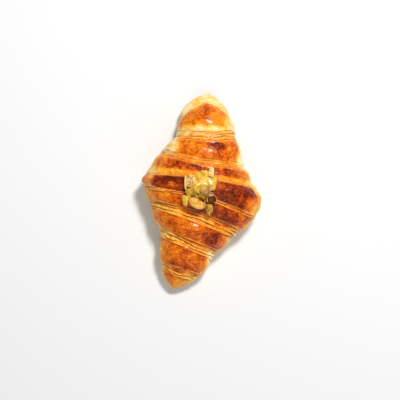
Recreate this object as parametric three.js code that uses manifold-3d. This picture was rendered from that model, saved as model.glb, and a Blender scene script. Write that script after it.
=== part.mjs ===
// A butter croissant with a dollop of pistachio cream and cracked pistachio kernels on its crest.
// Millimetres, +Z up. +X runs from the back tip to the front tip, +Y to the right side, and the
// origin is on the flat base, in the middle of the croissant's length and width.
import * as THREE from "three";
import { mergeVertices } from "three/addons/utils/BufferGeometryUtils.js";
import Module from "manifold-3d";

const wasm = await Module();
wasm.setup();

// Driving dimensions of the pastry
const length = 165;
const width = 99;
const height = 56;

const gap = 0.3; // clearance left between pieces that touch
const sliver = 0.02; // detail below this size is dropped after a cut

const tipLength = 25; // each tip rounds off over this length
const tipBluntness = 0.75; // 0.5 is a round nose, 1 a pointed one
const bellyShare = 0.41; // height of the widest line, as a share of the local height
const baseDrop = 1.2; // how far the lower half would bulge through the base, which is cut flat
const bulge = 1.3; // how far the middle of each band stands proud
const edgeShare = 0.16; // share of a band over which its edge steps to the next band
const ringsPerBand = 9;
const segments = 44;

// The dough is a long triangle rolled up from its wide end, so each turn shows as a band across
// the croissant and the last turn, a narrowing tongue, is the highest one in the middle.
// `edge` is the line where a band ends towards the front tip, at the left side, the crest and the
// right side, as shares of half the length. `left` and `right` are shares of half the width, and
// `top` shares of the height, each at the band's back end and at its front end.
const bands = [
  { edge: [-0.5, -0.56, -0.67], left: [-0.54, -0.54], right: [0.25, 0.33], top: [0.46, 0.6] },
  { edge: [-0.38, -0.32, -0.35], left: [-0.61, -0.7], right: [0.42, 0.56], top: [0.66, 0.75] },
  { edge: [-0.09, -0.15, -0.12], left: [-0.76, -0.93], right: [0.66, 0.82], top: [0.82, 0.89] },
  { edge: [0.015, 0.04, 0.2], left: [-0.98, -0.98], right: [0.96, 0.99], top: [0.975, 0.975] },
  { edge: [0.17, 0.245, 0.39], left: [-0.93, -0.86], right: [0.85, 0.7], top: [0.91, 0.84] },
  { edge: [0.42, 0.51, 0.62], left: [-0.81, -0.66], right: [0.61, 0.4], top: [0.77, 0.67] },
  { edge: [0.78, 0.83, 0.86], left: [-0.58, -0.55], right: [0.32, 0.19], top: [0.6, 0.5] },
  { edge: [1, 1, 1], left: [-0.54, -0.55], right: [0.17, 0.1], top: [0.45, 0.4] },
];
const backTip = [-1, -1, -1];

const { lerp, smoothstep } = THREE.MathUtils;

// One of a band's values at share p of its length, stepping half-way to each neighbour's value.
function bandValue(index, key, p) {
  const [start, end] = bands[index][key];
  const before = index > 0 ? bands[index - 1][key][1] : start;
  const after = index < bands.length - 1 ? bands[index + 1][key][0] : end;
  const plain = lerp(start, end, p);
  const toBefore = 0.5 * (1 - smoothstep(p, 0, edgeShare));
  const toAfter = 0.5 * smoothstep(p, 1 - edgeShare, 1);
  return plain + toBefore * (before - start) + toAfter * (after - end);
}

// The pastry's surface at `along`, from 0 at the back tip to 1 at the front tip, and at an angle
// round the long axis, 0 on the right side and a quarter turn on the crest.
function pastryPoint(along, angle, grow) {
  const position = along * bands.length;
  const index = Math.min(Math.floor(position), bands.length - 1);
  const share = position - index;
  const p = share - (0.8 * Math.sin(2 * Math.PI * share)) / (2 * Math.PI);

  const from = index > 0 ? bands[index - 1].edge : backTip;
  const [left, crest, right] = from.map((x, i) => (length / 2) * lerp(x, bands[index].edge[i], p));
  const across = Math.cos(angle);
  const side = across > 0 ? right : left;
  const x = crest + (side - crest) * Math.abs(across) ** 1.2;

  const fromTip = Math.min(length / 2 - Math.abs(crest), tipLength) / tipLength;
  const round = (1 - (1 - fromTip) ** 2) ** tipBluntness;
  const proud = bulge * Math.sin(Math.PI * p) + grow;
  const leftSide = (width / 2) * bandValue(index, "left", p);
  const rightSide = (width / 2) * bandValue(index, "right", p);
  const top = height * bandValue(index, "top", p);
  const belly = bellyShare * top;
  const y = (leftSide + rightSide) / 2 + ((rightSide - leftSide) / 2 + proud) * round * across;
  const rise = Math.sin(angle);
  const z = rise > 0 ? (top - belly + proud) * rise : (baseDrop * belly + grow) * rise;
  return new THREE.Vector3(x, y, Math.max(belly + z * round, -grow));
}

function pastryGeometry(grow) {
  const geometry = new THREE.SphereGeometry(1, segments, ringsPerBand * bands.length);
  const at = geometry.attributes.position;
  for (let i = 0; i < at.count; i += 1) {
    const along = 1 - Math.acos(THREE.MathUtils.clamp(at.getY(i), -1, 1)) / Math.PI;
    const point = pastryPoint(along, Math.atan2(at.getX(i), at.getZ(i)), grow);
    at.setXYZ(i, point.x, point.y, point.z);
  }
  geometry.computeVertexNormals();
  return geometry;
}

// A geometry, placed by a matrix, as a manifold-3d solid.
function solidFrom(geometry, matrix) {
  const bare = new THREE.BufferGeometry()
    .setAttribute("position", geometry.attributes.position.clone())
    .setIndex(geometry.index);
  const merged = mergeVertices(bare.applyMatrix4(matrix), 1e-4);
  return new wasm.Manifold(
    new wasm.Mesh({
      numProp: 3,
      vertProperties: new Float32Array(merged.attributes.position.array),
      triVerts: new Uint32Array(merged.index.array),
    }),
  );
}

// The solid's geometry, without the slivers that cutting leaves.
function geometryFrom(solid) {
  const mesh = solid.simplify(sliver).getMesh();
  const geometry = new THREE.BufferGeometry()
    .setAttribute("position", new THREE.BufferAttribute(mesh.vertProperties, 3))
    .setIndex(new THREE.BufferAttribute(mesh.triVerts, 1));
  geometry.computeVertexNormals();
  return geometry;
}

const crumb = new THREE.MeshStandardMaterial({ color: 0xd98324, roughness: 0.5 });
const cream = new THREE.MeshStandardMaterial({ color: 0xc9c04a, roughness: 0.3 });
const greenNut = new THREE.MeshStandardMaterial({ color: 0xb9b04e, roughness: 0.55 });
const paleNut = new THREE.MeshStandardMaterial({ color: 0xdcc77c, roughness: 0.6 });
const skinnedNut = new THREE.MeshStandardMaterial({ color: 0x8d7a4a, roughness: 0.6 });

const pastry = new THREE.Mesh(pastryGeometry(0), crumb);
pastry.name = "croissant";
pastry.updateMatrixWorld();

function pastryTopAt(x, y) {
  const down = new THREE.Raycaster(new THREE.Vector3(x, y, 2 * height), new THREE.Vector3(0, 0, -1));
  return down.intersectObject(pastry)[0].point.z;
}

// A pistachio kernel lies along its own X and narrows towards +X. `size` is its length, width and
// thickness when whole. Each cut is a direction and how far from the kernel's middle the crack
// lies, and what is beyond it is gone.
const nuts = [
  {
    name: "pistachio_half_front", material: paleNut, size: [13.4, 8.8, 7.6], at: [9.4, -1.6], lift: 4.4,
    turn: [-0.1, 0.3, 1.52], cuts: [[[0, 0, 1], 0.4]],
  },
  {
    name: "pistachio_kernel_middle", material: skinnedNut, size: [11, 7.6, 7.2], at: [-1.8, 3.5], lift: 8.2,
    turn: [0, 0.85, 0.5], cuts: [],
  },
  {
    name: "pistachio_chunk_left", material: paleNut, size: [12.6, 8.4, 7.4], at: [-6, -9.8], lift: 5,
    turn: [0.35, 0.1, -0.25], cuts: [[[1, 0.2, 0.3], 4.4], [[-1, 0.3, 0.2], 4.4]],
  },
  {
    name: "pistachio_chunk_front_left", material: greenNut, size: [9.8, 5.4, 6.2], at: [8.2, -11.4], lift: 3.6,
    turn: [0.2, 0.1, 0.08], cuts: [[[-1, 0, 0.5], 3.4]],
  },
  {
    name: "pistachio_sliver_back_right", material: greenNut, size: [9.6, 4.6, 4.6], at: [-17.8, 5.6], lift: 4,
    turn: [0, -0.12, 3.05], cuts: [[[-1, 0.2, 0.2], 3.8]],
  },
  {
    name: "pistachio_sliver_back", material: greenNut, size: [8.2, 5.4, 4.6], at: [-14.8, 0.5], lift: 5,
    turn: [0.1, -0.3, 0.4], cuts: [[[-1, 0.2, 0.3], 3]],
  },
  {
    name: "pistachio_hollow_right", material: skinnedNut, size: [9.2, 6.8, 7], at: [3.8, 9.6], lift: 4.8,
    turn: [-0.35, 0, 0.25], cuts: [[[0.1, 0.2, 1], 0.8], [[1, 0, 0.4], 3.4]],
  },
  {
    name: "pistachio_chunk_front_right", material: skinnedNut, size: [10.4, 6.6, 6.2], at: [13.6, 8.2], lift: 4.2,
    turn: [0.4, 0.15, 0.15], cuts: [[[0.2, 0.5, 1], 2], [[-1, 0.4, 0.2], 4.2]],
  },
];

// A kernel's solid in its own frame, with what the cracks took off cut away.
function kernelSolid(size, cuts, grow) {
  const ball = new THREE.SphereGeometry(1, 16, 11).rotateZ(-Math.PI / 2);
  const at = ball.attributes.position;
  const [a, b, c] = size.map((full) => full / 2 + grow);
  for (let i = 0; i < at.count; i += 1) {
    const narrow = 1 - 0.2 * at.getX(i);
    at.setXYZ(i, a * at.getX(i), b * narrow * at.getY(i), c * narrow * at.getZ(i));
  }
  let solid = solidFrom(ball, new THREE.Matrix4());
  for (const [direction, distance] of cuts) {
    const out = new THREE.Vector3(...direction).normalize();
    const reach = 3 * size[0];
    const middle = out.clone().multiplyScalar(distance + grow + reach / 2);
    const facing = new THREE.Quaternion().setFromUnitVectors(new THREE.Vector3(0, 0, 1), out);
    const place = new THREE.Matrix4().compose(middle, facing, new THREE.Vector3(1, 1, 1));
    solid = solid.subtract(solidFrom(new THREE.BoxGeometry(reach, reach, reach), place));
  }
  return solid;
}

function nutMesh(nut) {
  const mesh = new THREE.Mesh(geometryFrom(kernelSolid(nut.size, nut.cuts, 0)), nut.material);
  const [x, y] = nut.at;
  mesh.name = nut.name;
  mesh.position.set(x, y, pastryTopAt(x, y) + nut.lift);
  mesh.rotation.set(...nut.turn);
  mesh.updateMatrixWorld();
  return mesh;
}

// The cream was piped in soft folds: each fold is a flattened ball, by its middle and half sizes.
const folds = [
  { at: [-4, 1.5], lift: 0.5, half: [10.5, 10, 8.5] },
  { at: [-10.5, -2.5], lift: 1, half: [5.5, 6, 6] },
  { at: [-7.5, 7.5], lift: 0, half: [7.5, 4.6, 6.5] },
  { at: [1.5, -6], lift: 0, half: [7, 7, 6] },
  { at: [5.5, 3.5], lift: -0.5, half: [5.5, 7.5, 5] },
];

function foldSolid({ at: [x, y], lift, half }) {
  const middle = new THREE.Vector3(x, y, pastryTopAt(x, y) + lift);
  const place = new THREE.Matrix4().compose(middle, new THREE.Quaternion(), new THREE.Vector3(...half));
  return solidFrom(new THREE.SphereGeometry(1, 18, 12).rotateX(Math.PI / 2), place);
}

// The cream fills the space between the pastry and the kernels pressed into it.
function creamMesh(nutMeshes) {
  let solid = folds.map(foldSolid).reduce((all, fold) => all.add(fold));
  solid = solid.subtract(solidFrom(pastryGeometry(gap), new THREE.Matrix4()));
  nuts.forEach((nut, i) => {
    const grown = geometryFrom(kernelSolid(nut.size, nut.cuts, gap));
    solid = solid.subtract(solidFrom(grown, nutMeshes[i].matrixWorld));
  });
  const largest = solid.decompose().reduce((a, b) => (a.volume() > b.volume() ? a : b));
  const mesh = new THREE.Mesh(geometryFrom(largest), cream);
  mesh.name = "pistachio_cream";
  return mesh;
}

const kernels = new THREE.Group().add(...nuts.map(nutMesh));
const croissant = new THREE.Group().add(pastry, creamMesh(kernels.children), kernels);

export default croissant;
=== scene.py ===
# A croissant topped with pistachio cream and cracked pistachio kernels.
# Metres, +X from the back tip to the front tip, +Y to the right side, +Z up.
import math

import bpy
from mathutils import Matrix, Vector, noise
from mathutils.bvhtree import BVHTree


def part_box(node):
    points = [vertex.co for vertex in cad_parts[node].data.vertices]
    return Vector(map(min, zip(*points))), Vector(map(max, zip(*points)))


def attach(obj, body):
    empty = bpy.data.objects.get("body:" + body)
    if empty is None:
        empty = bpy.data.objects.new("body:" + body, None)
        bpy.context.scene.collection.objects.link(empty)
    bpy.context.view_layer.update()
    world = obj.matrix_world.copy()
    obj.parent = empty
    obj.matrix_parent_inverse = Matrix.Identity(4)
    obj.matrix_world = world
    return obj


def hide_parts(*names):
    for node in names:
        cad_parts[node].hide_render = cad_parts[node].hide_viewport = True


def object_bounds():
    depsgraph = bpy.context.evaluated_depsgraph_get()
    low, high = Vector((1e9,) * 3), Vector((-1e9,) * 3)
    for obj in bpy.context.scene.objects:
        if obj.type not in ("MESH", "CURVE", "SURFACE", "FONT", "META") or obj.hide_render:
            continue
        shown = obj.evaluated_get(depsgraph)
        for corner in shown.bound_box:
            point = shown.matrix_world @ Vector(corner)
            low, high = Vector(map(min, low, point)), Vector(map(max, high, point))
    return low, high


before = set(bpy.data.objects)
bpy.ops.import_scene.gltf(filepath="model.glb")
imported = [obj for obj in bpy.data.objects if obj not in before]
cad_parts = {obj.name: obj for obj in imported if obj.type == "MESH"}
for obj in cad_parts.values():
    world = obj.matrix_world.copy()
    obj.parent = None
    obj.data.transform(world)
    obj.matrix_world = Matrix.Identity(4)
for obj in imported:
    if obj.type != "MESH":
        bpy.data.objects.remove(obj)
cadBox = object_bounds()
print("frame loaded:", sorted(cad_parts))

lowest, highest = cadBox
middle = (lowest + highest) / 2


def clamp(x, low=0.0, high=1.0):
    return max(low, min(high, x))


def lerp(a, b, share):
    return a + (b - a) * share


def smooth(x, low=0.0, high=1.0):
    share = clamp((x - low) / (high - low))
    return share * share * (3 - 2 * share)


def hump(x, centre, half):
    return smooth(1 - abs(x - centre) / half)


# camera, straight above, turned so the roll lies a little askew
cameraSet = {
    "height": 1.25,
    "framed": 0.33,  # width of what it sees at the croissant's widest level
    "level": 0.022,  # that level
    "offCentre": (0.0062, 0.0002),
    "turn": math.radians(98.7),
}


def makeCamera():
    place = (
        middle.x + cameraSet["offCentre"][0],
        middle.y + cameraSet["offCentre"][1],
        cameraSet["height"],
    )
    bpy.ops.object.camera_add(location=place, rotation=(0, 0, cameraSet["turn"]))
    camera = bpy.context.object
    camera.data.sensor_width = 36
    camera.data.lens = 36 * (cameraSet["height"] - cameraSet["level"]) / cameraSet["framed"]
    camera.data.clip_start = 0.01
    camera.data.clip_end = 20
    bpy.context.scene.camera = camera


makeCamera()
print("camera placed")


# material helpers
def tone(red, green, blue):
    # screen colour, 0 to 255, as the light values that shaders take
    parts = [c / 255 for c in (red, green, blue)]
    linear = [c / 12.92 if c <= 0.04045 else ((c + 0.055) / 1.055) ** 2.4 for c in parts]
    return (*linear, 1)


def newMaterial(name):
    material = bpy.data.materials.new(name)
    material.use_nodes = True
    tree = material.node_tree
    return material, tree, tree.nodes["Principled BSDF"]


def addNode(tree, kind, settings=None, **inputs):
    made = tree.nodes.new(kind)
    for name, value in (settings or {}).items():
        setattr(made, name, value)
    for name, value in inputs.items():
        socket = made.inputs[int(name[1:])] if name[0] == "i" and name[1:].isdigit() else made.inputs[name]
        if isinstance(value, bpy.types.NodeSocket):
            tree.links.new(value, socket)
        else:
            socket.default_value = value
    return made


def noiseOf(tree, where, scale, detail=3, roughness=0.5, distortion=0):
    made = addNode(tree, "ShaderNodeTexNoise", Vector=where, Scale=scale, Detail=detail)
    made.inputs["Roughness"].default_value = roughness
    made.inputs["Distortion"].default_value = distortion
    return made.outputs["Fac"]


def stretched(tree, where, scale):
    return addNode(tree, "ShaderNodeMapping", Vector=where, Scale=scale).outputs["Vector"]


def calculated(tree, operation, a, b, held=False):
    made = addNode(tree, "ShaderNodeMath", {"operation": operation, "use_clamp": held}, i0=a, i1=b)
    return made.outputs[0]


def remap(tree, value, low, high, newLow=0.0, newHigh=1.0):
    made = addNode(tree, "ShaderNodeMapRange", i0=value, i1=low, i2=high, i3=newLow, i4=newHigh)
    return made.outputs[0]


def mixed(tree, share, a, b):
    made = addNode(tree, "ShaderNodeMix", {"data_type": "RGBA"}, i0=share, i6=a, i7=b)
    return made.outputs[2]


def ramp(tree, value, stops):
    made = addNode(tree, "ShaderNodeValToRGB", Fac=value)
    bar = made.color_ramp
    while len(bar.elements) < len(stops):
        bar.elements.new(0.5)
    for element, (place, colour) in zip(bar.elements, stops):
        element.position = place
        element.color = colour
    return made.outputs["Color"]


def attribute(tree, name):
    return addNode(tree, "ShaderNodeAttribute", {"attribute_name": name}).outputs["Fac"]


def bumped(tree, height, strength, distance, normal=None):
    made = addNode(tree, "ShaderNodeBump", Height=height, Strength=strength, Distance=distance)
    if normal is not None:
        tree.links.new(normal, made.inputs["Normal"])
    return made.outputs["Normal"]


# the baked pastry
# The dough is a long triangle rolled up from its wide end. Each turn shows as a band, and the
# last turn, a narrowing tongue, is the highest. `edge` is where a band ends towards the front
# tip, at the left side, the crest and the right side, as shares of half the length. `left` and
# `right` are shares of half the width and `top` shares of the height, at its back and front end.
# `layers` are the cut layers of dough that show at that edge, and `reach` how far they run up
# the higher band and down the lower one. `brown` is how dark the band bakes at the left side,
# the crest and the right side, `pale` the share next to the higher band that stays pale,
# `paleBake` how much of its brown that share keeps, `bulge` how proud its middle stands, and
# `curve` how roundly its edge bends over the crest.
bands = [
    {"edge": (-0.70, -0.89, -0.80), "left": (-0.555, -0.54), "right": (0.30, 0.33), "top": (0.45, 0.48),
     "layers": 2, "reach": (0.0012, 0.0022), "bulge": 0.0012, "curve": 2.2,
     "brown": (0.14, 0.09, 0.18), "pale": (0, 0, 0), "paleBake": 0.3},
    {"edge": (-0.52, -0.555, -0.61), "left": (-0.53, -0.53), "right": (0.31, 0.40), "top": (0.515, 0.585),
     "layers": 4, "reach": (0.0046, 0.0050), "bulge": 0.0032, "curve": 1.2,
     "brown": (0.56, 0.58, 0.44), "pale": (0.42, 0.3, 0.44), "paleBake": 0.3},
    {"edge": (-0.345, -0.30, -0.315), "left": (-0.57, -0.72), "right": (0.46, 0.60), "top": (0.66, 0.735),
     "layers": 4, "reach": (0.0038, 0.0036), "bulge": 0.003, "curve": 1.2,
     "brown": (0.42, 0.62, 0.64), "pale": (0.05, 0.05, 0.1), "paleBake": 0.3},
    {"edge": (-0.09, -0.15, -0.12), "left": (-0.80, -0.93), "right": (0.69, 0.83), "top": (0.82, 0.88),
     "layers": 1, "reach": (0.0008, 0.0026), "bulge": 0.0018, "curve": 1.2,
     "brown": (0.6, 0.8, 0.74), "pale": (0.36, 0.34, 0.32), "paleBake": 0.5},
    {"edge": (0.01, 0.03, 0.15), "left": (-0.985, -1.0), "right": (0.99, 1.01), "top": (0.975, 0.965),
     "layers": 2, "reach": (0.001, 0.0036), "bulge": 0.0018, "curve": 1.2,
     "brown": (0.84, 0.86, 0.92), "pale": (0, 0, 0), "paleBake": 0.3},
    {"edge": (0.155, 0.215, 0.35), "left": (-0.925, -0.86), "right": (0.92, 0.77), "top": (0.915, 0.855),
     "layers": 4, "reach": (0.0036, 0.0064), "bulge": 0.0026, "curve": 1.2,
     "brown": (0.47, 0.66, 0.88), "pale": (0.02, 0.02, 0), "paleBake": 0.3},
    {"edge": (0.415, 0.505, 0.59), "left": (-0.79, -0.65), "right": (0.65, 0.41), "top": (0.785, 0.7),
     "layers": 4, "reach": (0.0036, 0.0066), "bulge": 0.0036, "curve": 1.2,
     "brown": (0.44, 0.62, 0.74), "pale": (0.08, 0.05, 0.1), "paleBake": 0.4},
    {"edge": (0.78, 0.83, 0.86), "left": (-0.54, -0.49), "right": (0.33, 0.215), "top": (0.625, 0.52),
     "layers": 4, "reach": (0.0052, 0.0042), "bulge": 0.0036, "curve": 1.2,
     "brown": (0.5, 0.66, 0.6), "pale": (0.16, 0, 0.2), "paleBake": 0.4},
    {"edge": (1, 1, 1), "left": (-0.495, -0.53), "right": (0.23, 0.11), "top": (0.465, 0.42),
     "layers": 0, "reach": (0.002, 0.002), "bulge": 0.0014, "curve": 1.2,
     "brown": (0.42, 0.38, 0.42), "pale": (0.1, 0.1, 0.1), "paleBake": 0.3},
]
pastry = {
    "segments": 208,
    "ringsPerBand": 52,
    "stepRings": 0.38,  # share of a band's rings at each of its ends
    "tipLength": 0.025,
    "tipBluntness": 0.75,
    "bellyShare": 0.41,
    "baseDrop": 1.2,
    "sideShare": 0.32,  # share of a band over which its sides turn into the next band's
    "sideBulge": 0.5,  # share of the bulge that shows at the sides
    "bulgeLean": 0.85,  # below 1 the bulge leans towards the higher band
    "tongue": 4,  # the highest band
    "lip": 0.0004,  # how far a layer hangs over the next one
    "lipRise": 0.6,  # share of a groove's depth that a lip stands up by
    "groove": 0.00034,  # depth of the crease below a layer
    "layerHalf": 0.19,  # half of a layer's fall, as a share of the room it has
    "layerWander": 0.6,  # how unevenly the layers lie
    "edgeWander": 0.06,
    "sideLayers": 0.3,  # how much of the lips and grooves is left low on the sides
    "blister": 0.00026,
    "bubbly": 1400,  # how much more it blisters where it swells, per metre of height
    "dent": 0.0007,
    "blotch": 0.14,  # how much darker or lighter it bakes in blotches
    "paleEdge": 0.1,  # half the share of a band over which pale turns brown
    "paleWander": 0.06,
    "farEnd": (0.88, 1.0),  # the end of a band that turns paler towards the lower band
    "farEndPaler": 0.3,
    "stepShare": 0.64,  # how much of its brown a band keeps on its cut layers
    "rim": (0.1, 0.74),  # how high up the sides a band turns pale
    "tongueRim": (0.44, 0.66),
    "rimBake": 0.4,  # how much of its brown a band keeps low on its sides
    "footBake": 0.4,  # and lower still
    "tongueRimBake": 0.34,
    "baseBake": 0.6,
    "base": (0.72, 0.86),  # from the side to the base
}
# spots that baked darker or lighter than the rest of their band, and one of painted shadow, by place, half
# sizes and change
spots = [
    {"at": (-0.0726, -0.0225), "half": (0.012, 0.005), "darker": -0.3},
    {"at": (-0.0660, -0.0116), "half": (0.006, 0.006), "darker": -0.08},
    {"at": (-0.0625, 0.0150), "half": (0.010, 0.006), "darker": -0.25},
    {"at": (-0.0545, -0.0040), "half": (0.0045, 0.012), "darker": -0.14},
    {"at": (-0.0396, 0.0075), "half": (0.0045, 0.010), "darker": 0.26},
    {"at": (-0.0340, -0.0300), "half": (0.008, 0.009), "darker": -0.25},
    {"at": (-0.0310, 0.0305), "half": (0.010, 0.007), "darker": -0.4},
    {"at": (-0.0200, -0.0100), "half": (0.0032, 0.014), "darker": 0.12},
    {"at": (-0.0066, 0.0180), "half": (0.004, 0.008), "darker": -0.16},
    {"at": (-0.0040, -0.0480), "half": (0.008, 0.007), "darker": 0.24},  # the left rim, from here
    {"at": (0.0120, -0.0440), "half": (0.012, 0.008), "darker": 0.22},
    {"at": (0.0240, -0.0370), "half": (0.016, 0.007), "darker": 0.2},
    {"at": (0.0460, -0.0310), "half": (0.012, 0.007), "darker": 0.2},  # to here
    {"at": (-0.0033, -0.0240), "half": (0.0030, 0.005), "darker": -0.28},  # bloom on the tongue
    # painted shadow: the crust in front of the cream is darkened where the topping shades it
    {"at": (0.0165, -0.0033), "half": (0.0045, 0.012), "darker": 0.3},  # in front of the cream
    {"at": (0.0165, 0.0206), "half": (0.006, 0.012), "darker": 0.12},
    {"at": (0.0240, 0.0210), "half": (0.003, 0.009), "darker": 0.2},
    {"at": (0.0297, -0.0082), "half": (0.004, 0.008), "darker": 0.08},
    {"at": (0.0355, 0.0148), "half": (0.007, 0.011), "darker": 0.2},
    {"at": (0.0388, -0.0206), "half": (0.004, 0.008), "darker": -0.14},
    {"at": (0.0479, -0.0041), "half": (0.003, 0.008), "darker": 0.18},
    {"at": (0.0540, 0.0155), "half": (0.012, 0.0045), "darker": -0.25},
    {"at": (0.0594, 0.0050), "half": (0.006, 0.006), "darker": -0.14},
    {"at": (0.0600, 0.0020), "half": (0.009, 0.009), "darker": 0.08},
    {"at": (0.0668, -0.0082), "half": (0.003, 0.007), "darker": 0.2},
    {"at": (0.0680, -0.0150), "half": (0.011, 0.009), "darker": 0.16},
]
# low swellings, by place, half sizes and height
swells = [
    {"at": (-0.0687, -0.0025), "half": (0.008, 0.010), "height": 0.0010},
    {"at": (0.0302, -0.0012), "half": (0.0050, 0.0080), "height": 0.0008},
]
pastryLow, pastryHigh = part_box("croissant")
halfLength = (pastryHigh.x - pastryLow.x) / 2
halfWidth = (pastryHigh.y - pastryLow.y) / 2 * 0.99
pastryHeight = pastryHigh.z * 1.004
backTip = {"edge": (-1, -1, -1), "reach": (0.002, 0.002), "curve": 1.2}
tongue = pastry["tongue"]


def acrossTo(values, angle, curve=1.2):
    # from a value at the left side, one at the crest and one at the right side
    left, crest, right = values
    across = math.cos(angle)
    return lerp(crest, right if across > 0 else left, abs(across) ** curve)


def changeAt(point, patches, key):
    change = 0
    for patch in patches:
        east = (point.x - patch["at"][0]) / patch["half"][0]
        north = (point.y - patch["at"][1]) / patch["half"][1]
        far = east * east + north * north
        if far < 1:
            change += patch[key] * smooth(1 - far)
    return change


def layerSteps(t, edge, angle):
    # t goes from 0, on the higher band, to 1, on the lower one
    count = bands[edge]["layers"]
    ring = Vector((math.cos(angle), math.sin(angle), 0))
    t += pastry["edgeWander"] * noise.noise(ring * 2.3 + Vector((0, 0, 9.1 * edge)))
    half = pastry["layerHalf"] / max(count, 2)
    falls = total = lip = creaseAndShade = 0
    for layer in range(count):
        own = ring * 1.9 + Vector((0, 0, 5.3 * layer + 31.7 * edge))
        centre = (layer + 0.6 + pastry["layerWander"] * noise.noise(own)) / max(count, 2)
        depth = clamp(0.75 + 1.5 * noise.noise(own * 1.9 + Vector((4, 7, 1))), 0.15, 1.4)
        total += depth
        falls += depth * smooth(t, centre - half, centre + half)
        lip += depth * hump(t, centre - 1.6 * half, 1.7 * half)
        # the crease marks the groove below each layer and where its painted shade goes
        creaseAndShade += depth * hump(t, centre + 0.35 * half, 1.8 * half)
    return falls / total, min(lip, 1.3), min(creaseAndShade, 1.3)


def startReach(index):
    behind = bands[index - 1] if index else backTip
    return behind["reach"][0 if index <= tongue else 1]


def endReach(index):
    return bands[index]["reach"][1 if index < tongue else 0]


def alongBand(index, share, run):
    # many of a band's rings crowd into the short reaches of cut layers at its ends
    start = min(startReach(index) / run, 0.4)
    end = min(endReach(index) / run, 0.4)
    stepRings = pastry["stepRings"]
    if share < stepRings:
        return start * share / stepRings
    if share > 1 - stepRings:
        return 1 - end * (1 - share) / stepRings
    return lerp(start, 1 - end, (share - stepRings) / (1 - 2 * stepRings))


def stairsAt(index, share, angle):
    # the stairs of cut layers, where a band meets the next one
    band, stepRings = bands[index], pastry["stepRings"]
    if index > 0 and share < stepRings:
        edge, higher = index - 1, index <= tongue
        step = bands[edge]["top"][1] - band["top"][0]
        near = startReach(index) * share / stepRings
    elif index + 1 < len(bands) and share > 1 - stepRings:
        edge, higher = index, index >= tongue
        step = bands[index + 1]["top"][0] - band["top"][1]
        near = endReach(index) * (1 - share) / stepRings
    else:
        return {"rise": 0, "lip": 0, "creaseAndShade": 0, "mask": 0, "outward": 0}
    up, down = bands[edge]["reach"]
    t = (up - near if higher else up + near) / (up + down)
    fall, lip, creaseAndShade = layerSteps(t, edge, angle)
    fade = lerp(pastry["sideLayers"], 1, smooth(math.sin(angle), -0.2, 0.5))
    return {
        "rise": step * (fall if higher else 1 - fall),
        "lip": lip * fade,
        "creaseAndShade": creaseAndShade * fade,
        "mask": smooth(t, 0, 0.2) * (1 - smooth(t, 0.8, 1)) * min(1, bands[edge]["layers"] / 3),
        "outward": 1 if edge >= tongue else -1,
    }


def sideAt(key, index, p):
    # at each of its ends a band's side has turned half way into the next band's
    start, end = bands[index][key]
    toBefore = 0.5 * (1 - smooth(p, 0, pastry["sideShare"]))
    toAfter = 0.5 * smooth(p, 1 - pastry["sideShare"], 1)
    fromBefore = bands[index - 1][key][1] - start if index else 0
    toNext = bands[index + 1][key][0] - end if index + 1 < len(bands) else 0
    return lerp(start, end, p) + toBefore * fromBefore + toAfter * toNext


def bakeAndShadeAt(point, index, angle, outside, mask):
    # how dark it bakes, from 0 to 1, with the painted shadow of one spot added; outside is 0 at the higher
    # band's end
    band, rise = bands[index], math.sin(angle)
    blotch = noise.noise(point * 75 + Vector((8, 2, 5)))
    pale = acrossTo(band["pale"], angle) + pastry["paleWander"] * blotch
    crown = smooth(outside, pale - pastry["paleEdge"], pale + pastry["paleEdge"])
    if index != tongue:
        crown *= 1 - pastry["farEndPaler"] * smooth(outside, *pastry["farEnd"])
    rim = smooth(rise + 0.2 * blotch, *pastry["tongueRim" if index == tongue else "rim"])
    rimBake = pastry["tongueRimBake"] if index == tongue else pastry["rimBake"]
    brown = acrossTo(band["brown"], angle)
    bakeAndShade = brown * lerp(band["paleBake"], 1, crown) * lerp(rimBake, 1, rim)
    bakeAndShade *= lerp(pastry["footBake"], 1, smooth(rise + 0.2 * blotch, -0.05, 0.36))
    bakeAndShade += pastry["blotch"] * blotch * crown * rim
    stepBake = pastry["stepShare"] * brown * lerp(0.6, 1, rim)
    bakeAndShade = lerp(bakeAndShade, min(bakeAndShade, stepBake), 0.9 * mask)
    # the spots add bake, and one of them adds painted shadow
    bakeAndShade += changeAt(point, spots, "darker") * smooth(rise, -0.2, 0.1)
    return clamp(lerp(bakeAndShade, pastry["baseBake"], smooth(-rise, *pastry["base"])))


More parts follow.
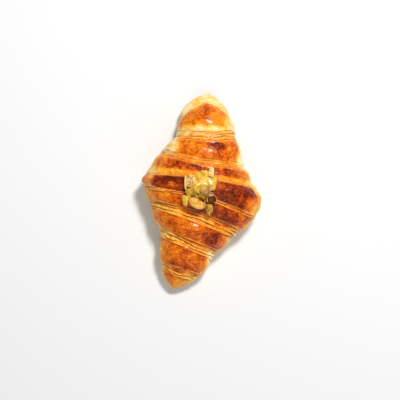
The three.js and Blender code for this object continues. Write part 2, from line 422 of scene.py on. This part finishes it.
def pastryPoint(along, angle):
    position = along * len(bands)
    index = min(int(position), len(bands) - 1)
    share = position - index
    band = bands[index]
    behind = bands[index - 1] if index else backTip
    across, rise = math.cos(angle), math.sin(angle)

    backX = acrossTo(behind["edge"], angle, behind["curve"]) * halfLength
    frontX = acrossTo(band["edge"], angle, band["curve"]) * halfLength
    p = alongBand(index, share, frontX - backX)
    stairs = stairsAt(index, share, angle)
    lip, creaseAndShade = stairs["lip"], stairs["creaseAndShade"]
    if index == tongue:
        outside = 0.5
        arched = math.sin(math.pi * p)
    else:
        outside = p if index > tongue else 1 - p
        arched = math.sin(math.pi * outside ** pastry["bulgeLean"])

    x = lerp(backX, frontX, p)
    fromTip = clamp((halfLength - abs(x)) / pastry["tipLength"])
    roundness = (1 - (1 - fromTip) ** 2) ** pastry["tipBluntness"]
    x += stairs["outward"] * pastry["lip"] * (lip - creaseAndShade)
    bulge = band["bulge"] * arched * lerp(pastry["sideBulge"], 1, abs(rise))
    proud = bulge + pastry["groove"] * (pastry["lipRise"] * lip - creaseAndShade) * roundness
    leftSide = halfWidth * sideAt("left", index, p)
    rightSide = halfWidth * sideAt("right", index, p)
    top = (lerp(*band["top"], p) + stairs["rise"]) * pastryHeight
    belly = pastry["bellyShare"] * top
    y = (leftSide + rightSide) / 2 + ((rightSide - leftSide) / 2 + proud) * roundness * across
    z = (top - belly + proud) * rise if rise > 0 else pastry["baseDrop"] * belly * rise
    point = Vector((x, y, belly + z * roundness))

    # soft dents, swellings and blisters
    out = Vector((0, across, rise))
    swell = changeAt(point, swells, "height") * smooth(rise)
    dents = pastry["dent"] * noise.fractal(point * 70, 0.8, 2.0, 3)
    blisters = pastry["blister"] * abs(noise.noise(point * 330 + Vector((3, 1, 7))))
    blisters *= 1 + pastry["bubbly"] * swell
    point += out * roundness * (dents + blisters + swell)
    point.z = max(point.z, 0)
    return point, bakeAndShadeAt(point, index, angle, outside, stairs["mask"]), lip, creaseAndShade


def putAttribute(mesh, name, values):
    made = mesh.attributes.new(name, "FLOAT", "POINT")
    made.data.foreach_set("value", values)


def makePastry():
    bpy.ops.object.select_all(action="DESELECT")
    bpy.ops.mesh.primitive_uv_sphere_add(
        segments=pastry["segments"],
        ring_count=pastry["ringsPerBand"] * len(bands),
        radius=1,
    )
    piece = bpy.context.object
    piece.name = "bakedPastry"
    bakeAndShadeValues, lips, creasesAndShade = [], [], []
    for vertex in piece.data.vertices:
        poleward, across, rise = vertex.co.z, vertex.co.y, vertex.co.x
        along = 1 - math.acos(clamp(poleward, -1, 1)) / math.pi
        point, bakeAndShade, lip, creaseAndShade = pastryPoint(along, math.atan2(rise, across))
        vertex.co = point
        bakeAndShadeValues.append(bakeAndShade)
        lips.append(lip)
        creasesAndShade.append(creaseAndShade)
    putAttribute(piece.data, "bakeAndShade", bakeAndShadeValues)
    putAttribute(piece.data, "lip", lips)
    putAttribute(piece.data, "creaseAndShade", creasesAndShade)
    bpy.ops.object.mode_set(mode="EDIT")
    bpy.ops.mesh.select_all(action="SELECT")
    bpy.ops.mesh.normals_make_consistent(inside=False)
    bpy.ops.object.mode_set(mode="OBJECT")
    bpy.ops.object.shade_smooth()
    return piece


def crustMaterial():
    material, tree, shader = newMaterial("eggWashedCrust")
    where = addNode(tree, "ShaderNodeTexCoord").outputs["Object"]
    cloud = noiseOf(tree, where, 130, detail=3, roughness=0.6)
    fleck = noiseOf(tree, stretched(tree, where, (620, 380, 380)), 1, detail=4, roughness=0.7)
    bakeAndShade = attribute(tree, "bakeAndShade")
    bakeAndShade = calculated(tree, "ADD", bakeAndShade, remap(tree, cloud, 0.3, 0.7, -0.14, 0.14))
    bakeAndShade = calculated(tree, "ADD", bakeAndShade, remap(tree, fleck, 0.3, 0.7, -0.17, 0.17), True)
    colour = ramp(tree, bakeAndShade, [
        (0.0, tone(255, 234, 182)),
        (0.16, tone(252, 208, 108)),
        (0.34, tone(248, 168, 36)),
        (0.52, tone(232, 122, 2)),
        (0.68, tone(194, 78, 0)),
        (0.84, tone(138, 38, 0)),
        (1.0, tone(82, 18, 2)),
    ])
    # lighter specks on the blisters: partly paler blistered dough, partly painted sheen
    blister = noiseOf(tree, stretched(tree, where, (600, 420, 420)), 1, detail=2, distortion=0.8)
    light = remap(tree, blister, 0.54, 0.72)
    light = calculated(tree, "MULTIPLY", light, remap(tree, bakeAndShade, 0.3, 0.55, 0, 0.34))
    light = calculated(tree, "MULTIPLY", light, remap(tree, bakeAndShade, 0.6, 0.85, 1, 0.4))
    colour = mixed(tree, light, colour, tone(255, 168, 66))
    lip = calculated(tree, "MULTIPLY", attribute(tree, "lip"), 0.6, True)
    colour = mixed(tree, lip, colour, tone(255, 190, 88))
    # painted shade: the grooves under the layers are coloured dark brown where they lie in shade
    creaseAndShade = calculated(tree, "MULTIPLY", attribute(tree, "creaseAndShade"), 1.0, True)
    colour = mixed(tree, creaseAndShade, colour, tone(186, 78, 4))
    tree.links.new(colour, shader.inputs["Base Color"])
    rough = remap(tree, bakeAndShade, 0.2, 0.8, 0.55, 0.36)
    tree.links.new(rough, shader.inputs["Roughness"])
    shader.inputs["Specular IOR Level"].default_value = 0.1
    shader.inputs["Coat Weight"].default_value = 0.25
    shader.inputs["Coat Roughness"].default_value = 0.17
    shader.inputs["Subsurface Weight"].default_value = 0.15
    shader.inputs["Subsurface Radius"].default_value = (1, 0.4, 0.1)
    shader.inputs["Subsurface Scale"].default_value = 0.002
    fine = noiseOf(tree, where, 1500, detail=2)
    relief = bumped(tree, fleck, 0.5, 0.0007)
    relief = bumped(tree, fine, 0.2, 0.0002, relief)
    tree.links.new(relief, shader.inputs["Normal"])
    return material


crust = makePastry()
crust.data.materials.append(crustMaterial())
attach(crust, "root")
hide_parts("croissant")
print("pastry made:", len(crust.data.polygons), "faces")


# helpers for the topping
def select(piece):
    bpy.ops.object.select_all(action="DESELECT")
    piece.select_set(True)
    bpy.context.view_layer.objects.active = piece


def addBall(at, half, turn=(0, 0, 0)):
    bpy.ops.object.select_all(action="DESELECT")
    bpy.ops.mesh.primitive_uv_sphere_add(
        segments=32, ring_count=20, radius=1, location=at, rotation=turn, scale=half
    )
    bpy.ops.object.transform_apply(location=True, rotation=True, scale=True)
    return bpy.context.object


def joined(pieces, name):
    bpy.ops.object.select_all(action="DESELECT")
    for piece in pieces:
        piece.select_set(True)
    bpy.context.view_layer.objects.active = pieces[0]
    if len(pieces) > 1:
        bpy.ops.object.join()
    pieces[0].name = name
    return pieces[0]


def applyModifier(piece, kind, settings):
    select(piece)
    bpy.ops.object.modifier_add(type=kind)
    modifier = piece.modifiers[-1]
    for name, value in settings.items():
        setattr(modifier, name, value)
    bpy.ops.object.modifier_apply(modifier=modifier.name)


def cutAway(piece, direction, distance):
    select(piece)
    out = Vector(direction).normalized()
    bpy.ops.object.mode_set(mode="EDIT")
    bpy.ops.mesh.select_all(action="SELECT")
    bpy.ops.mesh.bisect(plane_co=out * distance, plane_no=out, use_fill=True, clear_outer=True)
    bpy.ops.object.mode_set(mode="OBJECT")


def remeshed(piece, voxel, rounds):
    # one even skin over all the joined shapes, then softened
    applyModifier(piece, "REMESH", {"mode": "VOXEL", "voxel_size": voxel})
    applyModifier(piece, "SMOOTH", {"factor": 0.5, "iterations": rounds})


crustSurface = BVHTree.FromObject(crust, bpy.context.evaluated_depsgraph_get())


def crustTopAt(x, y):
    place = crustSurface.ray_cast(Vector((x, y, 0.1)), Vector((0, 0, -1)))[0]
    return place.z if place else 0


# the pistachio cream, piped in soft folds
# Each fold is a flattened ball, by its place from the middle of the cream, how far its middle
# stands above the crust, its half sizes and its turn about X, Y and Z, and `flat` is how far above
# its middle the palette knife went through. A rope of cream bends through three points, each a
# place and a height above the crust. A dip is a hollow.
cream = {
    "voxel": 0.0004,
    "smoothing": 4,
    "sunk": 0.0003,  # how far it settles into the crust
    "ripple": 0.0005,
    "wrinkle": 0.00025,
    "domeHalf": 0.0085,  # the paler, whipped middle
    "ropeEnds": 0.55,  # how thick a rope's ends are, as a share of its middle
    "dipReach": 1.6,  # how much wider than its `half` a dip runs out
    # painted shade: how far round a dip the cream is painted darker
    "paintedShadeReach": 1.2,  # and its darker cream
    "smear": (-0.0062, 0.0068),  # middle of the place that the palette knife left smooth
    "smearHalf": 0.0042,
    "smearOut": (-0.187, 0.067, 0.980),  # which way that place faces
}
creamFolds = [
    {"at": (-0.0038, 0.0026), "lift": 0.0026, "half": (0.0076, 0.0072, 0.0060), "turn": (0, 0, 0.2)},
    {"at": (-0.0094, -0.0034), "lift": 0.0018, "half": (0.0044, 0.0036, 0.0048), "turn": (0, 0, 0.5)},
    {"at": (-0.0060, 0.0096), "lift": 0.0018, "half": (0.0064, 0.0023, 0.0056), "turn": (0, 0, 0.06)},
    {"at": (-0.0020, -0.0040), "lift": 0.0022, "half": (0.0054, 0.0044, 0.0050), "turn": (0, 0, -0.6)},
    {"at": (0.0026, -0.0072), "lift": 0.0010, "half": (0.0052, 0.0032, 0.0042), "turn": (0, 0, 0.3)},
    {"at": (0.0040, -0.0008), "lift": 0.0006, "half": (0.0030, 0.0060, 0.0036), "turn": (0, 0, 0.2)},
    {"at": (0.0044, 0.0046), "lift": 0.0, "half": (0.0034, 0.0042, 0.0032), "turn": (0, 0, 0.3)},
    {"at": (-0.0062, 0.0068), "lift": 0.0088, "half": (0.0034, 0.0017, 0.0030), "turn": (0, 0, 0.675),
     "flat": 0.0016},
]
creamRopes = [
    {"thick": 0.0034,
     "through": ((-0.0052, 0.0002, 0.0086), (-0.0006, -0.0046, 0.0086), (0.0040, 0.0006, 0.0058))},
    {"thick": 0.0036,
     "through": ((-0.0074, 0.0024, 0.0074), (-0.0058, 0.0056, 0.0078), (-0.0016, 0.0078, 0.0070))},
    {"thick": 0.0036,
     "through": ((-0.0100, 0.0086, 0.0040), (-0.0070, 0.0082, 0.0060), (-0.0020, 0.0088, 0.0050))},
    {"thick": 0.0028,
     "through": ((0.0030, 0.0002, 0.0050), (0.0050, 0.0034, 0.0046), (0.0044, 0.0072, 0.0030))},
    {"thick": 0.0028,
     "through": ((0.0006, -0.0066, 0.0060), (0.0034, -0.0106, 0.0034), (0.0088, -0.0070, 0.0020))},
    {"thick": 0.0024,
     "through": ((0.0024, -0.0036, 0.0058), (0.0052, -0.0030, 0.0040), (0.0060, 0.0008, 0.0034))},
    {"thick": 0.0028,
     "through": ((-0.0104, 0.0030, 0.0030), (-0.0078, -0.0086, 0.0046), (-0.0014, -0.0080, 0.0044))},
    {"thick": 0.0026,
     "through": ((0.0030, -0.0092, 0.0046), (0.0058, -0.0090, 0.0040), (0.0090, -0.0066, 0.0030))},
    {"thick": 0.0022,
     "through": ((0.0030, -0.0014, 0.0044), (0.0054, 0.0012, 0.0046), (0.0056, 0.0060, 0.0044))},
]
# the cream in and around each dip is painted darker, as painted shade
creamDips = [
    {"at": (0.0066, -0.0058), "half": 0.0018, "depth": 0.0034},
    {"at": (0.0042, -0.0018), "half": 0.0010, "depth": 0.0012},
    {"at": (0.0046, 0.0056), "half": 0.0014, "depth": 0.0018},
]


def addRope(rope, start):
    bpy.ops.object.select_all(action="DESELECT")
    bpy.ops.curve.primitive_bezier_curve_add()
    piece = bpy.context.object
    line = piece.data.splines[0]
    line.bezier_points.add(len(rope["through"]) - len(line.bezier_points))
    for knot, (east, north, lift) in zip(line.bezier_points, rope["through"]):
        x, y = start.x + east, start.y + north
        knot.handle_left_type = knot.handle_right_type = "AUTO"
        knot.co = (x, y, crustTopAt(x, y) + lift)
        knot.radius = cream["ropeEnds"]
    line.bezier_points[1].radius = 1
    piece.data.bevel_depth = rope["thick"] / 2
    piece.data.use_fill_caps = True
    bpy.ops.object.convert(target="MESH")
    return bpy.context.object


def addFold(fold, start):
    x, y = start.x + fold["at"][0], start.y + fold["at"][1]
    centre = Vector((x, y, crustTopAt(x, y) + fold["lift"]))
    ball = addBall(centre, fold["half"], fold["turn"])
    if "flat" in fold:
        out = Vector(cream["smearOut"]).normalized()
        cutAway(ball, out, centre.dot(out) + fold["flat"])
    return ball


def shareFrom(point, place, half):
    # 0 at a place, 1 at `half` from it, seen from above
    return math.hypot(point.x - place.x, point.y - place.y) / half


def shapeCream(piece, start):
    dome = start + Vector((*creamFolds[0]["at"], 0))
    smear = start + Vector((*cream["smear"], 0))
    whipped, dipPaintedShade = [], []
    for vertex in piece.data.vertices:
        point = vertex.co.copy()
        ripple = noise.noise(point * 210 + Vector((5, 2, 8)))
        wrinkle = abs(noise.noise(Vector((point.x * 480, point.y * 700, point.z * 700))))
        calm = smooth(shareFrom(point, smear, cream["smearHalf"]), 0.5, 1)
        point += vertex.normal * calm * (cream["ripple"] * ripple - cream["wrinkle"] * wrinkle)
        # painted shade in and around the dips
        shade = 0
        for dip in creamDips:
            away = shareFrom(point, start + Vector((*dip["at"], 0)), dip["half"])
            point.z -= dip["depth"] * smooth(1 - away / cream["dipReach"])
            shade += smooth(1 - away / cream["paintedShadeReach"])
        dipPaintedShade.append(shade)
        away = shareFrom(point, dome, cream["domeHalf"])
        whipped.append(1 - smooth(away + 0.3 * ripple, 0.6, 1))
        point.z = max(point.z, crustTopAt(point.x, point.y) - cream["sunk"])
        vertex.co = point
    putAttribute(piece.data, "whipped", whipped)
    putAttribute(piece.data, "dipPaintedShade", dipPaintedShade)


def makeCream():
    low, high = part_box("pistachio_cream")
    start = (low + high) / 2
    folds = [addFold(fold, start) for fold in creamFolds]
    ropes = [addRope(rope, start) for rope in creamRopes]
    piece = joined(folds + ropes, "pistachioCream")
    remeshed(piece, cream["voxel"], cream["smoothing"])
    shapeCream(piece, start)
    select(piece)
    bpy.ops.object.shade_smooth()
    return piece


def creamMaterial():
    material, tree, shader = newMaterial("pistachioCreamGloss")
    where = addNode(tree, "ShaderNodeTexCoord").outputs["Object"]
    cloud = remap(tree, noiseOf(tree, where, 230, detail=3, distortion=0.6), 0.36, 0.64)
    piped = mixed(tree, cloud, tone(208, 164, 16), tone(226, 186, 46))
    dome = mixed(tree, cloud, tone(226, 186, 62), tone(242, 206, 100))
    colour = mixed(tree, attribute(tree, "whipped"), piped, dome)
    ground = noiseOf(tree, where, 1500, detail=2)  # finely ground nut
    colour = mixed(tree, remap(tree, ground, 0.6, 0.72, 0, 0.4), colour, tone(176, 138, 20))
    # painted shade: the cream is darkened in and around the dips
    dipPaintedShade = calculated(tree, "MULTIPLY", attribute(tree, "dipPaintedShade"), 0.55, True)
    colour = mixed(tree, dipPaintedShade, colour, tone(136, 92, 2))
    tree.links.new(colour, shader.inputs["Base Color"])
    shader.inputs["Roughness"].default_value = 0.34
    shader.inputs["Specular IOR Level"].default_value = 0.4
    shader.inputs["Coat Weight"].default_value = 0.6
    shader.inputs["Coat Roughness"].default_value = 0.09
    shader.inputs["Subsurface Weight"].default_value = 0.2
    shader.inputs["Subsurface Radius"].default_value = (1, 0.7, 0.2)
    shader.inputs["Subsurface Scale"].default_value = 0.0016
    relief = bumped(tree, noiseOf(tree, where, 900, detail=3), 0.35, 0.0004)
    tree.links.new(relief, shader.inputs["Normal"])
    return material


creamPiece = makeCream()
creamPiece.data.materials.append(creamMaterial())
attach(creamPiece, "root")
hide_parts("pistachio_cream")
print("cream made:", len(creamPiece.data.polygons), "faces")


# the pistachio kernels
# A kernel lies along X and narrows towards +X before it is turned. `size` is its length, width
# and thickness when whole. Each of `cracks` is a direction and how far from the kernel's middle
# the crack lies, and what is beyond it is gone. `groove` is the depth of the line along its
# middle, `crumble` how deep it is crazed, and `scoop` the wall and depth of a hollow. `skinDepth`
# says how deep its skin's colour goes. `peels` are shreds of skin, by place, half sizes and turn,
# and `shift` is how far it is pressed aside or up by the cream.
nut = {
    "voxel": 0.00024,
    "smoothing": 2,
    "taper": 0.2,
    "wrinkle": 0.00016,  # lines along the skin
    "grain": 0.0001,
    "crackHalf": 0.11,  # how wide the crazing's cracks are
    # painted shade: cracks are coloured darker the deeper they are, up to this depth
    "fullShadeDepth": 0.0008,  # a crack this deep is as dark as can be
    "grooveHalf": 0.0011,
    "skinDepth": (0.05, 0.16),
}
kernels = [
    {"node": "pistachio_half_front", "piece": "halfKernelFront", "finish": "cutFace",
     "size": (0.0142, 0.0104, 0.0084), "turn": (-0.06, -0.46, 4.58),
     "cracks": [((0, 0, 1), 0.0004), ((-0.46, -0.89, 0), 0.0040)], "shift": (-0.0004, 0, 0.0020),
     "groove": 0.0005, "crumble": 0.0001, "scoop": (0.0009, 0.0012)},
    {"node": "pistachio_kernel_middle", "piece": "kernelMiddle", "finish": "skinned",
     "size": (0.0110, 0.0078, 0.0074), "turn": (0, 0.85, 0.5), "cracks": [((-0.98, -0.04, 0.21), 0.0034)],
     "groove": 0, "crumble": 0.0003},
    {"node": "pistachio_chunk_left", "piece": "chunkLeft", "finish": "creamyFlesh",
     "size": (0.0126, 0.0084, 0.0074), "turn": (0.35, 0.1, -0.25),
     "cracks": [((1, 0.2, 0.3), 0.0044), ((-1, 0.3, 0.2), 0.0044), ((0.2, -0.3, 1), 0.0026)],
     "groove": 0.0003, "crumble": 0.0006,
     "peels": [{"at": (0.0022, -0.0038, 0.0002), "half": (0.0060, 0.0006, 0.0020), "turn": (0.2, 0, 0.38)},
               {"at": (-0.0032, 0.0022, 0.0026), "half": (0.0018, 0.0014, 0.0012), "turn": (0, 0, 0.6)}]},
    {"node": "pistachio_chunk_front_left", "piece": "chunkFrontLeft", "finish": "green",
     "size": (0.0098, 0.0056, 0.0062), "turn": (0.2, 0.1, 0.08), "cracks": [((-1, 0, 0.5), 0.0034)],
     "groove": 0.0003, "crumble": 0.0002},
    {"node": "pistachio_sliver_back_right", "piece": "sliverBackRight", "finish": "pale",
     "size": (0.0098, 0.0052, 0.0046), "turn": (0, -0.12, 3.05),
     "cracks": [((-1, 0.2, 0.2), 0.0038), ((0.1, 0.9, 0.5), 0.0015), ((1, 0.3, 0.2), 0.0042)],
     "shift": (0.0008, 0, 0), "groove": 0.0003, "crumble": 0.0003},
    {"node": "pistachio_sliver_back", "piece": "sliverBack", "finish": "green",
     "size": (0.0090, 0.0062, 0.0048), "turn": (0.1, -0.3, 0.4),
     "cracks": [((-1, 0.2, 0.3), 0.0032), ((0.2, -0.8, 0.6), 0.0018)], "shift": (0, 0, 0.0008),
     "groove": 0.0004, "crumble": 0.0004},
    {"node": "pistachio_hollow_right", "piece": "hollowRight", "finish": "hollow",
     "size": (0.0116, 0.0080, 0.0074), "turn": (-0.12, -0.05, 3.39),
     "cracks": [((0.1, 0.1, 1), 0.0006), ((-1, 0.1, 0), 0.0022)], "shift": (-0.0008, 0.0003, 0),
     "groove": 0, "crumble": 0.0001, "scoop": (0.0009, 0.0026), "skinDepth": (0.12, 0.18)},
    {"node": "pistachio_chunk_front_right", "piece": "chunkFrontRight", "finish": "dusty",
     "size": (0.0106, 0.0072, 0.0062), "turn": (0.4, 0.15, 0.15),
     "cracks": [((0.2, 0.5, 1), 0.0020), ((-1, 0.4, 0.2), 0.0042), ((0.3, -0.9, 0.6), 0.0024)],
     "shift": (-0.0022, -0.0006, 0.0006), "groove": 0.0003, "crumble": 0.0005,
     "peels": [{"at": (-0.0034, -0.0012, 0.0018), "half": (0.0022, 0.0007, 0.0012), "turn": (0, 0, 0.9)},
               {"at": (-0.0056, -0.0022, 0.0022), "half": (0.0026, 0.0008, 0.0014),
                "turn": (0, 0.2, -0.3)}]},
]
nutFinishes = {
    "cutFace": {"slot": "pistachio_cut_face", "flesh": (234, 192, 86), "fleshDeep": (204, 154, 60),
                "skin": (226, 166, 112), "skinDeep": (200, 134, 84), "crack": (160, 106, 38)},
    "creamyFlesh": {"slot": "pistachio_cut_face", "flesh": (255, 222, 150), "fleshDeep": (240, 198, 116),
                    "skin": (250, 210, 134), "skinDeep": (224, 174, 102), "crack": (122, 68, 18)},
    "green": {"slot": "pistachio_green", "flesh": (250, 216, 106), "fleshDeep": (230, 192, 74),
              "skin": (244, 204, 78), "skinDeep": (214, 170, 46), "crack": (150, 106, 18)},
    "pale": {"slot": "pistachio_green", "flesh": (255, 246, 188), "fleshDeep": (255, 236, 158),
             "skin": (255, 238, 160), "skinDeep": (244, 214, 122), "crack": (178, 134, 50)},
    "skinned": {"slot": "pistachio_skin", "flesh": (232, 190, 78), "fleshDeep": (208, 164, 62),
                "skin": (210, 160, 96), "skinDeep": (144, 92, 58), "crack": (122, 74, 30)},
    "dusty": {"slot": "pistachio_skin", "flesh": (226, 180, 84), "fleshDeep": (178, 128, 46),
              "skin": (216, 168, 78), "skinDeep": (160, 110, 42), "crack": (96, 58, 12)},
    # painted shade: the flesh inside this hollow kernel is coloured near black-brown where the hollow lies
    # in shade
    "hollow": {"slot": "pistachio_skin", "flesh": (104, 62, 14), "fleshDeep": (64, 32, 2),
               "skin": (240, 190, 138), "skinDeep": (206, 148, 100), "crack": (120, 70, 24), "gloss": 0.06},
}


def scoopOut(piece, direction, wall, depth):
    # the first crack's face is set in and pushed down in two steps
    out = Vector(direction).normalized()
    for face in piece.data.polygons:
        face.select = face.normal.dot(out) > 0.99 and len(face.vertices) > 6
    bpy.ops.object.mode_set(mode="EDIT")
    for part in (0.7, 0.3):
        bpy.ops.mesh.inset(thickness=wall)
        bpy.ops.transform.translate(value=out * -depth * part)
    bpy.ops.object.mode_set(mode="OBJECT")


def shapeKernel(piece, kernel):
    length, width, thickness = kernel["size"]
    skinDepth = kernel.get("skinDepth", nut["skinDepth"])
    cuts, cracks = [], []
    for vertex in piece.data.vertices:
        point = vertex.co
        narrow = 1 - nut["taper"] * point.x / (length / 2)
        whole = Vector((point.x / length, point.y / (width * narrow), point.z / (thickness * narrow)))
        within = 1 - 2 * whole.length
        cut = smooth(within, *skinDepth)
        crazed = abs(noise.noise(point * 330 + Vector((len(kernel["piece"]), 3, 1))))
        crack = (1 - smooth(crazed, 0, nut["crackHalf"])) * smooth(within, -0.16, -0.04)
        line = hump(point.y, 0, nut["grooveHalf"]) * smooth(length / 2 - abs(point.x), 0, 0.001)
        lines = noise.noise(Vector((point.x * 160, point.y * 900, point.z * 900)))
        rough = nut["wrinkle"] * lines * (1 - cut) + nut["grain"] * noise.noise(point * 1500)
        depth = kernel["crumble"] * crack + kernel["groove"] * line
        # painted shade: cracks and the middle groove are coloured darker the deeper they are
        paintedCrackShade = (kernel["crumble"] * crack + 0.5 * kernel["groove"] * line) / nut["fullShadeDepth"]
        cuts.append(cut)
        cracks.append(clamp(paintedCrackShade))
        vertex.co = point + vertex.normal * (rough - depth)
    putAttribute(piece.data, "cut", cuts)
    putAttribute(piece.data, "crack", cracks)


def makeKernel(kernel):
    half = [side / 2 for side in kernel["size"]]
    piece = addBall((0, 0, 0), half)
    for vertex in piece.data.vertices:
        narrow = 1 - nut["taper"] * vertex.co.x / half[0]
        vertex.co.y *= narrow
        vertex.co.z *= narrow
    for index, (direction, distance) in enumerate(kernel["cracks"]):
        cutAway(piece, direction, distance)
        if index == 0 and "scoop" in kernel:
            scoopOut(piece, direction, *kernel["scoop"])
    peels = [addBall(peel["at"], peel["half"], peel["turn"]) for peel in kernel.get("peels", [])]
    piece = joined([piece] + peels, kernel["piece"])
    remeshed(piece, nut["voxel"], nut["smoothing"])
    shapeKernel(piece, kernel)
    select(piece)
    piece.rotation_mode = "ZYX"
    piece.rotation_euler = kernel["turn"]
    bpy.ops.object.transform_apply(location=False, rotation=True, scale=False)
    low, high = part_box(kernel["node"])
    corners = [Vector(corner) for corner in piece.bound_box]
    piece.location = (low + high) / 2 - (corners[0] + corners[6]) / 2
    piece.location += Vector(kernel.get("shift", (0, 0, 0)))
    bpy.ops.object.transform_apply(location=True, rotation=False, scale=False)
    bpy.ops.object.shade_smooth()
    return piece


def nutMaterial(name, finish):
    material, tree, shader = newMaterial(name + "Pistachio")
    where = addNode(tree, "ShaderNodeTexCoord").outputs["Object"]
    cloud = remap(tree, noiseOf(tree, where, 260, detail=3), 0.36, 0.64)
    patch = remap(tree, noiseOf(tree, where, 240, detail=4, roughness=0.65, distortion=1), 0.46, 0.6)
    flesh = mixed(tree, cloud, tone(*finish["flesh"]), tone(*finish["fleshDeep"]))
    skin = mixed(tree, patch, tone(*finish["skin"]), tone(*finish["skinDeep"]))
    colour = mixed(tree, attribute(tree, "cut"), skin, flesh)
    # painted shade in the cracks and the groove
    colour = mixed(tree, attribute(tree, "crack"), colour, tone(*finish["crack"]))
    tree.links.new(colour, shader.inputs["Base Color"])
    tree.links.new(remap(tree, cloud, 0, 1, 0.38, 0.55), shader.inputs["Roughness"])
    shader.inputs["Specular IOR Level"].default_value = finish.get("gloss", 0.3)
    shader.inputs["Subsurface Weight"].default_value = 0.15
    shader.inputs["Subsurface Radius"].default_value = (1, 0.7, 0.2)
    shader.inputs["Subsurface Scale"].default_value = 0.001
    relief = bumped(tree, noiseOf(tree, where, 2200, detail=3), 0.3, 0.0002)
    tree.links.new(relief, shader.inputs["Normal"])
    return material


nutMaterials = {name: nutMaterial(name, finish) for name, finish in nutFinishes.items()}
for kernel in kernels:
    piece = makeKernel(kernel)
    piece.data.materials.append(nutMaterials[kernel["finish"]])
    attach(piece, "root")
    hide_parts(kernel["node"])
    print("kernel made:", kernel["piece"], len(piece.data.polygons), "faces")


# floor and light
studio = {
    "floor": 6.0,
    "key": {"energy": 14.5, "size": 0.2, "distance": 1.3, "azimuth": (-0.94, 0.33), "height": 62},
    "fill": {"energy": 12, "size": 2.4, "distance": 2.0, "azimuth": (0.9, 0.3), "height": 42},
    "air": 0.31,
    "warmth": (1, 0.95, 0.87),
}


def floorMaterial():
    material, tree, shader = newMaterial("paleFloor")
    where = addNode(tree, "ShaderNodeTexCoord").outputs["Object"]
    cloud = noiseOf(tree, where, 3, detail=3)
    shade = mixed(tree, cloud, tone(230, 236, 246), tone(234, 240, 250))
    tree.links.new(shade, shader.inputs["Base Color"])
    shader.inputs["Roughness"].default_value = 0.7
    return material


def makeFloor():
    bpy.ops.mesh.primitive_plane_add(size=studio["floor"])
    floor = bpy.context.object
    floor.name = "floor"
    floor.data.materials.append(floorMaterial())


def makeSoftbox(name, light):
    east, north = Vector(light["azimuth"]).normalized()
    tilt = math.radians(light["height"])
    towards = Vector((east * math.cos(tilt), north * math.cos(tilt), math.sin(tilt)))
    bpy.ops.object.light_add(type="AREA", location=towards * light["distance"])
    lamp = bpy.context.object
    lamp.name = name
    lamp.rotation_euler = towards.to_track_quat("Z", "Y").to_euler()
    lamp.data.shape = "SQUARE"
    lamp.data.size = light["size"]
    lamp.data.energy = light["energy"]
    lamp.data.color = studio["warmth"]


makeFloor()
makeSoftbox("keyLight", studio["key"])
makeSoftbox("fillLight", studio["fill"])
world = bpy.data.worlds.new("studioAir")
bpy.context.scene.world = world
world.use_nodes = True
world.node_tree.nodes["Background"].inputs["Color"].default_value = (*studio["warmth"], 1)
world.node_tree.nodes["Background"].inputs["Strength"].default_value = studio["air"]
bpy.context.scene.view_settings.view_transform = "Standard"
print("studio ready")
